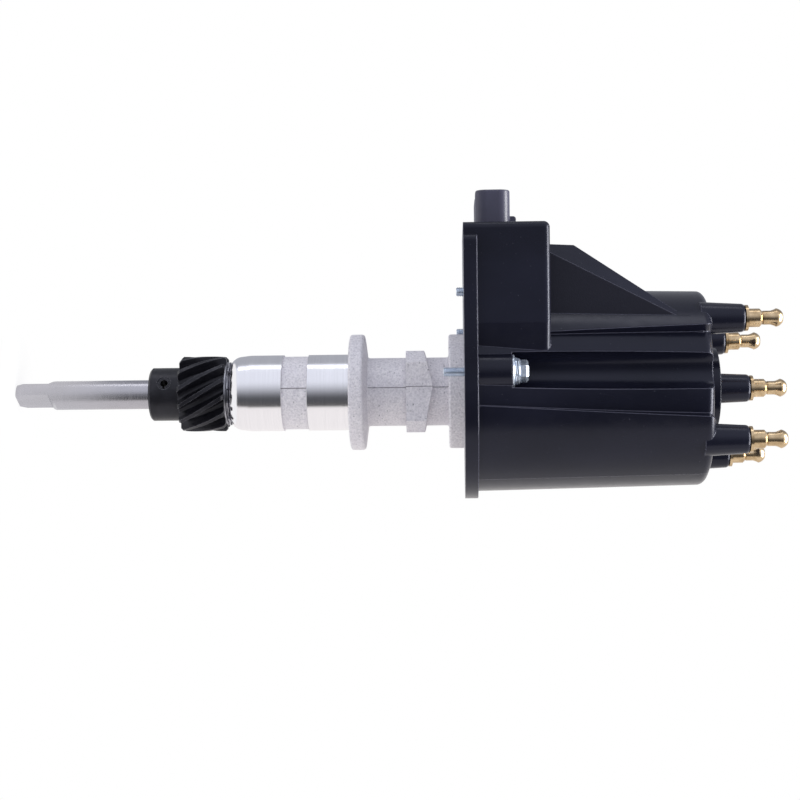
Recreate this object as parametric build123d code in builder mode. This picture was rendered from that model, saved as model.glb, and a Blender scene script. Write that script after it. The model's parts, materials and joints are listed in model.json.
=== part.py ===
from build123d import *
import os
from math import cos, radians, sin

# Marine four-cylinder ignition distributor with a moulded cap over its module.
# Millimetres. The shaft axis is Z, the seat of the clamp flange is z = 0, the cap is
# towards +Z and the module box is towards -X.
# An azimuth is measured about Z from -Y towards -X.

os.makedirs("parts", exist_ok=True)

# ---------------------------------------------------------------- fits and gaps
running_gap = 0.03       # radial, shaft in its bushings and brush in its well
press_gap = 0.01         # radial, pieces pressed together
insert_gap = 0.02        # round metal inserts in moulded plastic
rest_gap = 0.3           # between pieces that lie beside each other
air_gap = 0.8            # rotor electrode to terminal, and timer core to pole tooth
screw_clearance = 0.3    # radial, screw shank in its through hole
cutter_overrun = 1.0     # how far a cutting shape runs past the surface it opens

# ---------------------------------------------------------------- shaft
shaft_radius = 6.235
upper_shaft_radius = 5.5
shaft_nose_length = 58.4      # gear collar to the tip of the drive end
tang_length = 14.0
tang_thickness = 5.5
tang_angle = -30.0            # direction of the flats' normal, from +X
tip_taper_length = 3.0
tip_taper_depth = 1.2

# ---------------------------------------------------------------- gear and its pin
gear_teeth = 13
gear_radius = 16.15
gear_root_radius = 12.0
gear_length = 19.7
gear_lead = 164.0             # left-hand helix
gear_space_root = 2.3         # width of a tooth space at its floor
gear_space_mouth = 6.2        # width of a tooth space at the outside
gear_floor_hollow = 0.3        # dish of the floor between two teeth
gear_flank_swell = 0.1         # how far a flank bows at half height
gear_edge = 0.9
gear_sections = 5
collar_radius = 11.4
collar_length = 13.1
collar_edge = 0.8
roll_pin_radius = 2.5
roll_pin_wall = 0.85
roll_pin_slot = 1.0
roll_pin_recess = 0.5
roll_pin_height = 6.8         # above the collar's free end
roll_pin_azimuth = 25.5
roll_pin_spot_radius = 2.95   # spot face round the pin on the collar
roll_pin_spot_depth = 0.7

# ---------------------------------------------------------------- washers under the gear
thrust_washer_radius = 13.6
thrust_washer_thickness = 0.6
shim_radius = 10.8
shim_thickness = 0.3
tabbed_washer_radius = 11.2
tabbed_washer_thickness = 0.5
washer_tab_count = 10
washer_tab_azimuth = 14.0
washer_tab_width = 2.4
washer_tab_reach = 2.3

# ---------------------------------------------------------------- housing
pilot_radius = 16.3
upper_pilot_length = 17.9
cast_band_radius = 15.65
cast_band_length = 10.8
lower_pilot_length = 14.0
nose_radius = 12.4
nose_round_radius = 15.8      # where the rounded nose runs into its lead-in taper
nose_round_length = 4.4
nose_bulge = 1.0              # how far the round stands out from its chord
nose_length = 8.9
flange_radius = 24.8
flange_edge_height = 6.1
flange_cone_height = 1.4
flange_round = 1.2
neck_radius = 14.6
neck_length = 34.6
bowl_radius = 24.4
bowl_height = 6.5
bowl_round = 1.0
hub_radius = 11.5
hub_height = 12.4             # above the base plate
boss_radius = 17.2
boss_corner = 4.8             # cut across the boss's upright edges
boss_start = 24.1
boss_side_height = 7.6
boss_peak_height = 11.4
boss_peak_offset = 2.8        # peak of the boss, towards -X
parting_azimuth = 7.7
parting_rib_width = 0.5
parting_rib_height = 0.3
bushing_radius = 8.3
bushing_length = 22.0
oil_relief_radius = 7.4

# ---------------------------------------------------------------- base plate
plate_thickness = 3.2
plate_screw_radius = 2.0
plate_screw_head_radius = 3.9
plate_screw_circle = 18.6
plate_screw_length = 8.0
plate_screw_count = 3

# ---------------------------------------------------------------- cap
cap_wall = 2.6
cap_radius = 43.5             # over the pads, beside the skirt
cap_taper = 1.9               # how much the pads' radius falls by the end face
skirt_lip = 2.5
skirt_height = 5.5
skirt_setback = 5.5           # from the module box's end to the skirt's square end
skirt_corner = 2.2
gasket_thickness = 0.8
gasket_width = 3.0
cap_height = 101.6            # plate underside to the cap's end face
cap_roof = 4.0
cap_end_round = 3.4
pocket_depth_low = 0.7        # floor of the screw pockets below the pads, beside the skirt
pocket_depth_high = 4.8       # the same at the end face
pocket_half_angle_low = 19.5
pocket_half_angle_high = 27.6
pad_edge_round = 0.9
waist_depth = 0.6             # shallow flat between two pads
waist_half_angle = 20.0
channel_radius = 7.8
channel_wall = 2.0

# ---------------------------------------------------------------- cap screws
cap_screw_count = 2
cap_screw_azimuth = 11.5
cap_screw_inset = 7.5         # from the skirt's outside to the screws' circle
cap_screw_radius = 2.05
cap_screw_below_plate = 8.5
cap_screw_tip_edge = 0.5
screw_boss_radius_low = 7.4
screw_boss_radius_high = 7.2
screw_boss_height = 13.8
flat_washer_radius = 6.15
flat_washer_thickness = 1.0
spring_washer_radius = 4.6
spring_washer_thickness = 1.2
screw_head_radius = 4.25      # over the flange of the head
screw_head_height = 4.4
screw_head_flange = 1.1
screw_hex_setback = 0.4       # the hexagon's corners inside its flange

# ---------------------------------------------------------------- module box and gusset
box_reach = 68.3
box_side_setback = 1.8        # inside the pads' radius
box_height = 35.1             # plate underside to the box's end wall
box_round = 2.5
box_shoulder_x = 27.3         # where the side wall turns in towards the round cap
box_shoulder_end = 16.0
box_shoulder_inset = 3.7
gusset_near = 29.2            # side wall nearest the screw azimuth
gusset_width = 24.0
gusset_top = 60.2
gusset_level_length = 11.0
gusset_fall = 20.3
gusset_fall_length = 29.5
gusset_facet_top = 56.8       # where the bevel meets the near side wall, at the box
gusset_facet_slope = 0.515

# ---------------------------------------------------------------- towers and terminals
tower_count = 4
tower_azimuth = 53.9
tower_inset = 5.8             # from the pads' outside at the end face to the towers' circle
tower_radius_low = 6.85
tower_radius_high = 5.8
tower_height = 14.6
centre_tower_height = 20.1
centre_disc_radius = 17.4
centre_disc_height = 5.4
tower_round = 1.7
post_flange_radius = 5.4
post_flange_height = 1.15
post_radius = 3.85
post_barrel_height = 4.85
post_groove_radius = 2.7
post_waist_radius = 2.9
post_groove_height = 1.5
post_waist_height = 3.0
post_flare_height = 2.4
post_flare_hollow = 0.1
post_tip_radius = 2.0
post_tip_height = 2.6
post_tip_bulge = 0.5
post_bore_radius = 1.1
post_bore_depth = 6.0
terminal_stem_radius = 2.2
terminal_pillar_radius = 4.4
lug_width = 5.0
lug_height = 10.0
lug_depth_below_roof = 36.0
lug_reach = 7.4               # from a terminal's axis towards the rotor

# ---------------------------------------------------------------- pickup
pickup_outer_radius = 21.5
coil_height = 5.6
magnet_height = 2.4
bobbin_flange_thickness = 1.4
bobbin_groove_depth = 2.6
pole_plate_thickness = 1.4
pole_tooth_height = 7.6
pole_tooth_thickness = 1.6
pole_tooth_width = 5.0
pole_tooth_circle = 19.6
pickup_hub_gap = 0.2
retainer_thickness = 0.9
retainer_outer_radius = 14.0
retainer_groove_depth = 0.8
retainer_groove_slack = 0.1
retainer_mouth = 9.0

# ---------------------------------------------------------------- timer core and rotor
core_hub_radius = 8.6
core_disc_radius = 15.0
core_disc_thickness = 2.0
core_height = 5.6
core_tooth_width = 5.0
rotor_disc_radius = 24.0
rotor_disc_thickness = 4.0
rotor_disc_round = 1.0
rotor_column_radius = 8.8
rotor_column_height = 36.0
rotor_arm_width = 12.0
rotor_arm_thickness = 5.0
rotor_arm_setback = 2.6       # the arm's end behind the electrode's tip
rotor_tail_reach = 12.0
rotor_socket_depth = 14.0
electrode_thickness = 1.2
electrode_width = 8.0
contact_leaf_thickness = 0.6
contact_leaf_width = 6.0
contact_leaf_length = 16.0
rotor_screw_radius = 1.5
rotor_screw_circle = 12.0
rotor_screw_head_radius = 2.9
rotor_screw_head_height = 1.8
rotor_screw_bite = 1.8

# ---------------------------------------------------------------- carbon brush
brush_radius = 2.4
brush_length = 14.0
brush_crown_height = 1.0
brush_crown_low = 0.25        # height of the crown halfway out
brush_well_radius = 5.6
brush_well_gap = 4.0          # well mouth above the rotor's contact leaf
spring_coil_radius = 1.7
spring_wire_radius = 0.25
spring_pitch = 3.0

# ---------------------------------------------------------------- module and connectors
module_inner_x = 21.0
module_half_width = 32.0
module_height = 11.0
heat_sink_thickness = 2.0
module_relief_radius = 24.5   # hollow in the module round the pickup
module_corner = 2.0
module_screw_radius = 2.0
module_screw_head_radius = 3.6
module_screw_head_height = 2.2
module_screw_head_round = 0.7
module_screw_tip_edge = 0.5
module_screw_below_plate = 3.0
module_screw_sites = [(-41.0, -25.0), (-26.0, 25.0)]
shroud_length = 14.4              # out of the box's end wall
connector_height = 14.2
connector_centre_height = 12.4    # above the base plate's underside
connector_wall = 1.6
connector_depth = 13.5
connector_round = 4.5
connector_block_thickness = 4.1
connector_block_height = 16.0
connector_sites = [(-20.0, 19.0, 2), (12.0, 32.0, 4)]     # y, width, number of pins
shroud_edge = 0.7
latch_height = 2.6
latch_length = 3.9
latch_round = 1.2
latch_width = 7.0
pin_blade_width = 2.8
pin_blade_thickness = 0.8
pin_pitch = 7.0
pin_recess = 6.5

# ---------------------------------------------------------------- sizes that follow in plan
skirt_reach = box_reach - skirt_setback
skirt_radius = cap_radius + skirt_lip
cap_radius_high = cap_radius - cap_taper
core_radius_low = cap_radius - pocket_depth_low
core_radius_high = cap_radius_high - pocket_depth_high
cap_screw_circle = skirt_radius - cap_screw_inset
tower_circle = cap_radius_high - tower_inset
lug_tip_circle = tower_circle - lug_reach
electrode_tip = lug_tip_circle - air_gap
box_half_width = cap_radius - box_side_setback
box_inner_end = box_reach - cap_wall
box_inner_half = box_half_width - cap_wall
block_outer_x = box_inner_end - rest_gap
block_inner_x = block_outer_x - connector_block_thickness
module_reach = block_inner_x - rest_gap
shroud_reach = box_reach + shroud_length
plate_radius = skirt_radius - cap_wall - rest_gap
plate_reach = skirt_reach - cap_wall - rest_gap

# ---------------------------------------------------------------- levels along the shaft
cast_band_top = -upper_pilot_length
cast_band_low = cast_band_top - cast_band_length
lower_pilot_low = cast_band_low - lower_pilot_length
nose_z = lower_pilot_low - nose_length
tabbed_washer_low = nose_z - tabbed_washer_thickness
shim_top = tabbed_washer_low - rest_gap
shim_low = shim_top - shim_thickness
thrust_washer_low = shim_low - thrust_washer_thickness
gear_top = thrust_washer_low
gear_low = gear_top - gear_length
collar_low = gear_low - collar_length
shaft_tip = collar_low - shaft_nose_length
flange_cone_top = flange_edge_height + flange_cone_height
bowl_low = flange_cone_top + neck_length
plate_low = bowl_low + bowl_height
plate_top = plate_low + plate_thickness
gasket_top = plate_top + gasket_thickness
skirt_top = plate_low + skirt_height
hub_top = plate_top + hub_height
box_top = plate_low + box_height
cap_top = plate_low + cap_height
cap_inner_top = cap_top - cap_roof
centre_disc_top = cap_top + centre_disc_height
tower_top = cap_top + tower_height
centre_tower_top = cap_top + centre_tower_height
screw_boss_top = skirt_top + screw_boss_height
coil_top = plate_top + coil_height
magnet_top = coil_top + magnet_height
pole_plate_top = magnet_top + pole_plate_thickness
core_low = hub_top + rest_gap
core_top = core_low + core_height
rotor_disc_top = core_top + rotor_disc_thickness
rotor_top = rotor_disc_top + rotor_column_height
electrode_top = rotor_top + electrode_thickness
leaf_top = electrode_top + contact_leaf_thickness
shaft_top = core_top + rotor_socket_depth
brush_low = leaf_top + rest_gap
brush_top = brush_low + brush_length
brush_well_low = leaf_top + brush_well_gap
brush_stop = cap_inner_top - cap_wall
lug_top = cap_inner_top - lug_depth_below_roof + lug_height
lug_low = lug_top - lug_height
connector_z = plate_low + connector_centre_height
module_top = plate_top + module_height
tower_angle = 270.0 - tower_azimuth
cap_screw_angle = 270.0 - cap_screw_azimuth
rotor_angle = tower_angle
rotor_screw_angle = rotor_angle + 90.0


def plan_direction(angle):
    """Unit vector in plan at an angle from +X."""
    return (cos(radians(angle)), sin(radians(angle)), 0)


def upright_plane(angle, origin=(0, 0, 0)):
    """Plane through the origin whose local x points at a plan angle and local y is up."""
    along = plan_direction(angle)
    return Plane(origin=origin, x_dir=along, z_dir=(along[1], -along[0], 0))


def ring(outer_radius, inner_radius, low, high):
    """Flat ring about the shaft axis between two levels."""
    with BuildPart() as piece:
        with BuildSketch(Plane.XY.offset(low)):
            Circle(outer_radius)
            Circle(inner_radius, mode=Mode.SUBTRACT)
        extrude(amount=high - low)
    return piece


def finish(piece, label):
    """Name a finished piece and write it."""
    piece.part.label = label
    export_step(piece.part, f"parts/{label}.step")


# ================================================================ main shaft
with BuildPart() as main_shaft:
    with BuildSketch(Plane.XZ):
        with BuildLine():
            Polyline(
                (0, shaft_tip),
                (shaft_radius - tip_taper_depth, shaft_tip),
                (shaft_radius, shaft_tip + tip_taper_length),
                (shaft_radius, core_low),
                (upper_shaft_radius, core_low),
                (upper_shaft_radius, shaft_top),
                (0, shaft_top),
                close=True,
            )
        make_face()
    revolve(axis=Axis.Z)
    # Two flats make the drive tang; each runs out at 45 degrees.
    ramp = shaft_radius + cutter_overrun - tang_thickness / 2
    with BuildSketch(upright_plane(tang_angle)):
        with BuildLine():
            Polyline(
                (tang_thickness / 2, shaft_tip - cutter_overrun),
                (shaft_radius + cutter_overrun, shaft_tip - cutter_overrun),
                (shaft_radius + cutter_overrun, shaft_tip + tang_length + ramp),
                (tang_thickness / 2, shaft_tip + tang_length),
                close=True,
            )
        make_face()
        mirror(about=Plane.YZ)
    extrude(amount=2 * shaft_radius, both=True, mode=Mode.SUBTRACT)
    # Cross hole for the roll pin.
    pin_z = collar_low + roll_pin_height
    pin_angle = 270.0 - roll_pin_azimuth
    pin_plane = Plane(
        origin=(0, 0, pin_z),
        x_dir=plan_direction(pin_angle + 90.0),
        z_dir=plan_direction(pin_angle),
    )
    with BuildSketch(pin_plane):
        Circle(roll_pin_radius + press_gap)
    extrude(amount=2 * shaft_radius, both=True, mode=Mode.SUBTRACT)
finish(main_shaft, "main_shaft")

# ================================================================ helical drive gear
# One tooth space, lofted through sections that turn with the left-hand helix.
gear_axial_step = (gear_length + 2 * cutter_overrun) / (gear_sections - 1)
with BuildPart() as tooth_space:
    for section in range(gear_sections):
        section_z = gear_low - cutter_overrun + section * gear_axial_step
        turned = -360.0 * (section_z - gear_low) / gear_lead
        with BuildSketch(Plane.XY.offset(section_z).rotated((0, 0, turned))):
            mouth_radius = gear_radius + cutter_overrun
            flank_radius = (gear_root_radius + gear_radius) / 2
            flank_half = (gear_space_root + gear_space_mouth) / 4 + gear_flank_swell
            with BuildLine():
                floor_arc = ThreePointArc(
                    (gear_root_radius + gear_floor_hollow, -gear_space_root / 2),
                    (gear_root_radius, 0),
                    (gear_root_radius + gear_floor_hollow, gear_space_root / 2),
                )
                Polyline(
                    floor_arc @ 1,
                    (flank_radius, flank_half),
                    (gear_radius, gear_space_mouth / 2),
                    (mouth_radius, gear_space_mouth / 2),
                    (mouth_radius, -gear_space_mouth / 2),
                    (gear_radius, -gear_space_mouth / 2),
                    (flank_radius, -flank_half),
                    floor_arc @ 0,
                )
            make_face()
    loft()

with BuildPart() as drive_gear:
    with BuildSketch(Plane.XZ):
        with BuildLine():
            Polyline(
                (0, collar_low),
                (collar_radius - collar_edge, collar_low),
                (collar_radius, collar_low + collar_edge),
                (collar_radius, gear_low),
                (gear_radius - gear_edge, gear_low),
                (gear_radius, gear_low + gear_edge),
                (gear_radius, gear_top - gear_edge),
                (gear_radius - gear_edge, gear_top),
                (0, gear_top),
                close=True,
            )
        make_face()
    revolve(axis=Axis.Z)
    with PolarLocations(0, gear_teeth):
        add(tooth_space.part, mode=Mode.SUBTRACT)
    with BuildSketch(Plane.XY.offset(collar_low)):
        Circle(shaft_radius + press_gap)
    extrude(amount=gear_top - collar_low, mode=Mode.SUBTRACT)
    with BuildSketch(pin_plane):
        Circle(roll_pin_radius + press_gap)
    extrude(amount=2 * collar_radius, both=True, mode=Mode.SUBTRACT)
    # Spot faces that the pin's ends sit in.
    for outward in (1.0, -1.0):
        spot_floor = outward * (collar_radius - roll_pin_spot_depth)
        with BuildSketch(pin_plane.offset(spot_floor)):
            Circle(roll_pin_spot_radius)
        extrude(amount=outward * collar_radius, mode=Mode.SUBTRACT)
finish(drive_gear, "drive_gear")

# ================================================================ roll pin
with BuildPart() as roll_pin:
    with BuildSketch(pin_plane):
        Circle(roll_pin_radius)
        Circle(roll_pin_radius - roll_pin_wall, mode=Mode.SUBTRACT)
        with Locations((roll_pin_radius, 0)):
            Rectangle(2 * roll_pin_radius, roll_pin_slot, mode=Mode.SUBTRACT)
    extrude(amount=collar_radius - roll_pin_recess, both=True)
finish(roll_pin, "roll_pin")

# ================================================================ washers under the gear
shaft_hole_radius = shaft_radius + running_gap
thrust_washer = ring(thrust_washer_radius, shaft_hole_radius, thrust_washer_low, shim_low)
finish(thrust_washer, "thrust_washer")

shim = ring(shim_radius, shaft_hole_radius, shim_low, shim_top)
finish(shim, "shim")

with BuildPart() as tabbed_washer:
    with BuildSketch(Plane.XY.offset(tabbed_washer_low)):
        Circle(tabbed_washer_radius)
        with PolarLocations(
            tabbed_washer_radius, washer_tab_count, start_angle=270.0 - washer_tab_azimuth
        ):
            Rectangle(2 * washer_tab_reach, washer_tab_width)
        Circle(shaft_hole_radius + rest_gap, mode=Mode.SUBTRACT)
    extrude(amount=tabbed_washer_thickness)
finish(tabbed_washer, "tabbed_washer")

# ================================================================ housing
# Boss round the neck: a block with cut corners whose upper face rises to a ridge.
with BuildPart() as neck_boss:
    with BuildSketch(Plane.XZ):
        with BuildLine():
            Polyline(
                (-boss_radius, boss_start),
                (boss_radius, boss_start),
                (boss_radius, boss_start + boss_side_height),
                (-boss_peak_offset, boss_start + boss_peak_height),
                (-boss_radius, boss_start + boss_side_height),
                close=True,
            )
        make_face()
    extrude(amount=boss_radius, both=True)
    with BuildSketch(Plane.XY.offset(boss_start)):
        boss_plan = Rectangle(2 * boss_radius, 2 * boss_radius)
        chamfer(boss_plan.vertices(), boss_corner)
    extrude(amount=boss_peak_height, mode=Mode.INTERSECT)

with BuildPart() as housing:
    with BuildSketch(Plane.XZ):
        with BuildLine():
            nose = ThreePointArc(
                (nose_radius, nose_z),
                (
                    (nose_radius + nose_round_radius + nose_bulge) / 2,
                    nose_z + (nose_round_length - nose_bulge) / 2,
                ),
                (nose_round_radius, nose_z + nose_round_length),
            )
            Polyline(
                nose @ 1,
                (pilot_radius, lower_pilot_low),
                (pilot_radius, cast_band_low),
                (cast_band_radius, cast_band_low),
                (cast_band_radius, cast_band_top),
                (pilot_radius, cast_band_top),
                (pilot_radius, 0),
                (flange_radius, 0),
                (flange_radius, flange_edge_height),
                (neck_radius, flange_cone_top),
                (neck_radius, bowl_low),
                (bowl_radius, bowl_low),
                (bowl_radius, plate_low),
                (hub_radius, plate_low),
                (hub_radius, hub_top),
                (0, hub_top),
                (0, nose_z),
                nose @ 0,
            )
        make_face()
    revolve(axis=Axis.Z)
    flange_rims = housing.edges().filter_by(GeomType.CIRCLE).filter_by(
        lambda rim: abs(rim.radius - flange_radius) < 0.01
    )
    fillet(flange_rims, flange_round)
    bowl_rims = housing.edges().filter_by(GeomType.CIRCLE).filter_by(
        lambda rim: abs(rim.radius - bowl_radius) < 0.01
    )
    fillet(bowl_rims.sort_by(Axis.Z)[0], bowl_round)
    neck_foot = housing.edges().filter_by(GeomType.CIRCLE).filter_by(
        lambda rim: abs(rim.radius - neck_radius) < 0.01
    )
    fillet(neck_foot, bowl_round)
    add(neck_boss.part)
    # Flash line of the die, left on the cast surfaces only.
    parting_ribs = (
        (flange_cone_top, bowl_low, neck_radius),
        (boss_start, boss_start + boss_side_height, boss_radius),
        (cast_band_low, cast_band_top, cast_band_radius),
    )
    for rib_low, rib_high, surface_radius in parting_ribs:
        with BuildSketch(upright_plane(-parting_azimuth)):
            with Locations((0, (rib_low + rib_high) / 2)):
                Rectangle(parting_rib_width, rib_high - rib_low)
        extrude(amount=surface_radius + parting_rib_height, both=True)
    # Shaft bore, relieved between the two bushings.
    with BuildSketch(Plane.XY.offset(nose_z)):
        Circle(oil_relief_radius)
    extrude(amount=hub_top - nose_z, mode=Mode.SUBTRACT)
    with BuildSketch(Plane.XY.offset(nose_z)):
        Circle(bushing_radius + press_gap)
    extrude(amount=bushing_length, mode=Mode.SUBTRACT)
    with BuildSketch(Plane.XY.offset(hub_top)):
        Circle(bushing_radius + press_gap)
    extrude(amount=-bushing_length, mode=Mode.SUBTRACT)
    # Groove that holds the pickup's retaining clip.
    with BuildSketch(Plane.XY.offset(pole_plate_top)):
        Circle(hub_radius)
        Circle(hub_radius - retainer_groove_depth, mode=Mode.SUBTRACT)
    extrude(amount=retainer_thickness + retainer_groove_slack, mode=Mode.SUBTRACT)
    # Blind holes for the base plate's screws.
    with Locations(Location((0, 0, plate_low))):
        with PolarLocations(plate_screw_circle, plate_screw_count):
            Hole(plate_screw_radius + press_gap, depth=plate_screw_length - plate_thickness)
finish(housing, "housing")

# ================================================================ bushings
lower_bushing = ring(bushing_radius, shaft_hole_radius, nose_z, nose_z + bushing_length)
finish(lower_bushing, "lower_bushing")

upper_bushing = ring(bushing_radius, shaft_hole_radius, hub_top - bushing_length, hub_top)
finish(upper_bushing, "upper_bushing")

# ================================================================ base plate and its screws


def tab_outline(radius, reach, corner):
    """Sketch of a round cap's foot that runs square towards -X on one side."""
    with BuildSketch() as outline:
        with BuildLine():
            bow = ThreePointArc((0, -radius), (radius, 0), (0, radius))
            Polyline(bow @ 1, (-reach, radius), (-reach, -radius), bow @ 0)
        make_face()
        fillet(outline.vertices().filter_by(lambda vertex: vertex.X < -reach / 2), corner)
    return outline.sketch


with BuildPart() as base_plate:
    with BuildSketch(Plane.XY.offset(plate_low)):
        add(tab_outline(plate_radius, plate_reach, skirt_corner))
        # The plate runs on under the module box to its end wall.
        with Locations((rest_gap - block_outer_x, 0)):
            Rectangle(
                block_outer_x - hub_radius,
                2 * (box_inner_half - rest_gap),
                align=(Align.MIN, Align.CENTER),
            )
        Circle(hub_radius + pickup_hub_gap, mode=Mode.SUBTRACT)
    extrude(amount=plate_thickness)
    with Locations(Location((0, 0, plate_top))):
        with PolarLocations(plate_screw_circle, plate_screw_count):
            CounterSinkHole(
                plate_screw_radius + screw_clearance, plate_screw_head_radius, counter_sink_angle=90
            )
        with PolarLocations(cap_screw_circle, cap_screw_count, start_angle=cap_screw_angle):
            Hole(cap_screw_radius + press_gap)
        with Locations(*module_screw_sites):
            Hole(module_screw_radius + press_gap)
finish(base_plate, "base_plate")

with BuildPart() as base_plate_screws:
    plate_screw_tip = plate_top - plate_screw_length
    head_cone_depth = plate_screw_head_radius - screw_clearance - plate_screw_radius
    for number in range(plate_screw_count):
        site = plan_direction(number * 360.0 / plate_screw_count)
        centre = (site[0] * plate_screw_circle, site[1] * plate_screw_circle, 0)
        with BuildSketch(upright_plane(0.0, centre)):
            with BuildLine():
                Polyline(
                    (0, plate_screw_tip + rest_gap),
                    (plate_screw_radius, plate_screw_tip + rest_gap),
                    (plate_screw_radius, plate_top - head_cone_depth),
                    (plate_screw_head_radius - screw_clearance, plate_top),
                    (0, plate_top),
                    close=True,
                )
            make_face()
        revolve(axis=Axis(centre, (0, 0, 1)))
finish(base_plate_screws, "base_plate_screws")

# ================================================================ distributor cap


def cone_radius(low_radius, high_radius, level):
    """Radius at a level of a cone that runs from the skirt's top to the cap's end face."""
    share = (level - skirt_top) / (cap_top - skirt_top)
    return low_radius + (high_radius - low_radius) * share


def cone_body(low_radius, high_radius, low, high):
    """Solid cone about the shaft axis, on the taper between the two given radii."""
    with BuildPart() as body:
        with BuildSketch(Plane.XZ):
            with BuildLine():
                Polyline(
                    (0, low),
                    (cone_radius(low_radius, high_radius, low), low),
                    (cone_radius(low_radius, high_radius, high), high),
                    (0, high),
                    close=True,
                )
            make_face()
        revolve(axis=Axis.Z)
    return body.part


def sector(angle, half_angle_low, half_angle_high, reach):
    """Wedge from the shaft axis outwards, which may widen from skirt to end face."""
    with BuildPart() as wedge:
        for level, half_angle in ((skirt_top, half_angle_low), (cap_top, half_angle_high)):
            side = plan_direction(half_angle)
            with BuildSketch(Plane.XY.offset(level).rotated((0, 0, angle))):
                with BuildLine():
                    Polyline(
                        (0, 0),
                        (reach, -reach * side[1] / side[0]),
                        (reach, reach * side[1] / side[0]),
                        close=True,
                    )
                make_face()
        loft(ruled=True)
    return wedge.part


# Two wide pads each side of the screw pockets, with a shallow waist between pads.
with BuildPart() as cap_pads:
    add(cone_body(cap_radius, cap_radius_high, skirt_top, cap_top))
    for side in range(cap_screw_count):
        waist = sector(
            cap_screw_angle + 90.0 + 180.0 * side,
            waist_half_angle,
            waist_half_angle,
            2 * cap_radius,
        )
        floor = cone_body(
            cap_radius - waist_depth, cap_radius_high - waist_depth, skirt_top, cap_top
        )
        add(waist - floor, mode=Mode.SUBTRACT)
        add(
            sector(
                cap_screw_angle + 180.0 * side,
                pocket_half_angle_low,
                pocket_half_angle_high,
                2 * cap_radius,
            ),
            mode=Mode.SUBTRACT,
        )
    # Rounded edges where the pads break off into the pockets.
    pad_edges = cap_pads.edges().filter_by(GeomType.LINE).filter_by(
        lambda edge: Vector(edge.center().X, edge.center().Y, 0).length > core_radius_low
    )
    fillet(pad_edges.sort_by(Edge.length)[-2 * cap_screw_count :], pad_edge_round)

# Gusset that runs from the box's end wall down onto the first tower's pad.
gusset_far = gusset_near - gusset_width
gusset_end = cap_top - cap_end_round
gusset_run_out = gusset_end - box_top - gusset_level_length
with BuildPart() as gusset:
    with BuildSketch(Plane.XZ.offset(gusset_near)):
        with BuildLine():
            Polyline(
                (0, box_top - box_round),
                (-gusset_top, box_top - box_round),
                (-gusset_top, box_top + gusset_level_length),
                (gusset_fall * gusset_run_out / gusset_fall_length - gusset_top, gusset_end),
                (0, gusset_end),
                close=True,
            )
        make_face()
    extrude(amount=-gusset_width)
    # A 45 degree bevel on each long edge, falling along the wall.
    for near_y, outward in ((-gusset_near, -1.0), (-gusset_far, 1.0)):
        bevel = Plane(
            origin=(-gusset_facet_top, near_y, box_top),
            z_dir=(-1.0, outward, gusset_facet_slope),
        )
        split(bisect_by=bevel, keep=Keep.BOTTOM)

# Towers of the four spark terminals and the taller centre tower.
with BuildPart() as towers:
    with Locations(Location((0, 0, cap_inner_top))):
        with PolarLocations(tower_circle, tower_count, start_angle=tower_angle):
            Cone(
                tower_radius_low,
                tower_radius_high,
                tower_top - cap_inner_top,
                align=(Align.CENTER, Align.CENTER, Align.MIN),
            )
        Cone(
            tower_radius_low,
            tower_radius_high,
            centre_tower_top - cap_inner_top,
            align=(Align.CENTER, Align.CENTER, Align.MIN),
        )
    tower_rims = towers.edges().filter_by(GeomType.CIRCLE).filter_by(
        lambda rim: abs(rim.radius - tower_radius_high) < 0.01
    )
    fillet(tower_rims, tower_round)

# Everything that the cap is hollow for: rotor space, module space, screws and inserts.
roof_depth = cap_inner_top - gasket_top
with BuildPart() as cap_cavity:
    add(
        cone_body(
            core_radius_low - cap_wall, core_radius_high - cap_wall, gasket_top, cap_inner_top
        )
    )
    with BuildSketch(Plane.XY.offset(gasket_top)):
        with Locations((-(box_inner_end + box_shoulder_x) / 2, 0)):
            Rectangle(box_inner_end - box_shoulder_x, 2 * box_inner_half)
    extrude(amount=box_top - cap_wall - gasket_top)
    with BuildSketch(Plane.XY.offset(gasket_top)):
        with Locations((-(module_reach + module_inner_x) / 2, 0)):
            Rectangle(
                module_reach - module_inner_x + 2 * rest_gap,
                2 * (module_half_width + rest_gap),
            )
    extrude(amount=module_top + rest_gap - gasket_top)
    # Walls round the cap screws and pillars round the terminal inserts stay solid.
    with Locations(Location((0, 0, gasket_top))):
        with PolarLocations(cap_screw_circle, cap_screw_count, start_angle=cap_screw_angle):
            Cylinder(
                channel_radius + channel_wall,
                roof_depth,
                align=(Align.CENTER, Align.CENTER, Align.MIN),
                mode=Mode.SUBTRACT,
            )
    with Locations(Location((0, 0, lug_low))):
        with PolarLocations(tower_circle, tower_count, start_angle=tower_angle):
            Cylinder(
                terminal_pillar_radius,
                cap_inner_top - lug_low,
                align=(Align.CENTER, Align.CENTER, Align.MIN),
                mode=Mode.SUBTRACT,
            )
    with Locations(Location((0, 0, brush_well_low))):
        Cylinder(
            brush_well_radius,
            cap_inner_top - brush_well_low,
            align=(Align.CENTER, Align.CENTER, Align.MIN),
            mode=Mode.SUBTRACT,
        )

# Module box, turned in towards the round body at its shoulders.
with BuildPart() as module_box:
    with BuildSketch(Plane.XY.offset(plate_low)):
        with BuildLine():
            Polyline(
                (-box_reach, -box_half_width),
                (-box_shoulder_x, -box_half_width),
                (-box_shoulder_end, box_shoulder_inset - box_half_width),
                (-box_shoulder_end, box_half_width - box_shoulder_inset),
                (-box_shoulder_x, box_half_width),
                (-box_reach, box_half_width),
                close=True,
            )
        make_face()
    extrude(amount=box_height)
    box_corners = module_box.edges().filter_by(Axis.Z).group_by(Axis.X)[0]
    fillet(box_corners, box_round)
    box_end_rim = module_box.edges().group_by(Axis.Z)[-1].filter_by(
        lambda rim: rim.center().X < -box_shoulder_end - cutter_overrun
    )
    fillet(box_end_rim, box_round)

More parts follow.
